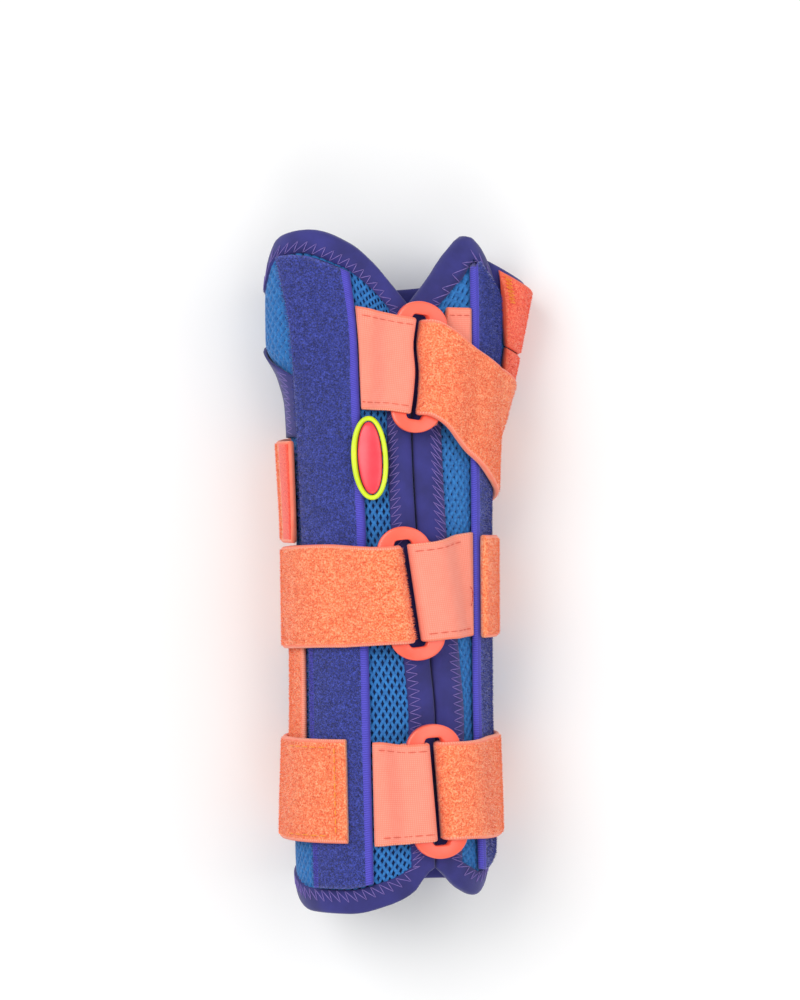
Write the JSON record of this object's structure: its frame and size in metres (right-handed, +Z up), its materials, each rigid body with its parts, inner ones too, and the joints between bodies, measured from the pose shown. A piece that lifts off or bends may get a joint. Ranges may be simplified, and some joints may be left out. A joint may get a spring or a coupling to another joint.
{
  "type": "thumb spica splint",
  "caption": "Child's thumb spica splint: a hollow mesh wrap with a thumb sleeve, taped edges, lengthwise pile strips and pile straps folded through oval rings.",
  "frame": {"origin": "middle of the underside, on the surface that the palm side lies on", "axes": "+Y along the splint towards the fingers, +X towards the thumb, +Z up through the back of the hand"},
  "size_m": [0.0834, 0.206, 0.0595],
  "materials": {
    "spacer_mesh": "teal-blue knitted spacer mesh with open cells",
    "edge_tape": "violet-navy elastic edge tape, zigzag stitched",
    "blue_pile": "royal-blue brushed loop pile",
    "orange_pile": "orange brushed loop pile",
    "thumb_pile": "red-orange loop pile with zigzag stitches",
    "woven_web": "salmon woven webbing",
    "ring_plastic": "glossy moulded plastic",
    "badge_rim": "raised glossy rim",
    "badge_field": "bare glossy field"
  },
  "bodies": {
    "root": {"body_mesh": "spacer_mesh", "binding_hand_radial": "edge_tape", "binding_hand_ulnar": "edge_tape", "binding_forearm": "edge_tape", "binding_seam_radial": "edge_tape", "binding_seam_ulnar": "edge_tape", "binding_thumb": "edge_tape", "binding_side": "edge_tape", "pile_strip_ulnar": "blue_pile", "pile_strip_radial": "blue_pile", "pile_strip_side": "orange_pile", "ring_distal": "ring_plastic", "ring_middle": "ring_plastic", "ring_proximal": "ring_plastic", "web_distal": "woven_web", "web_middle": "woven_web", "web_proximal": "woven_web", "web_thumb": "woven_web", "strap_distal": "orange_pile", "strap_middle": "orange_pile", "strap_proximal": "orange_pile", "thumb_strap_upper": "thumb_pile", "thumb_strap_lower": "thumb_pile", "badge_rim": "badge_rim", "badge_field": "badge_field"}
  },
  "joints": []
}
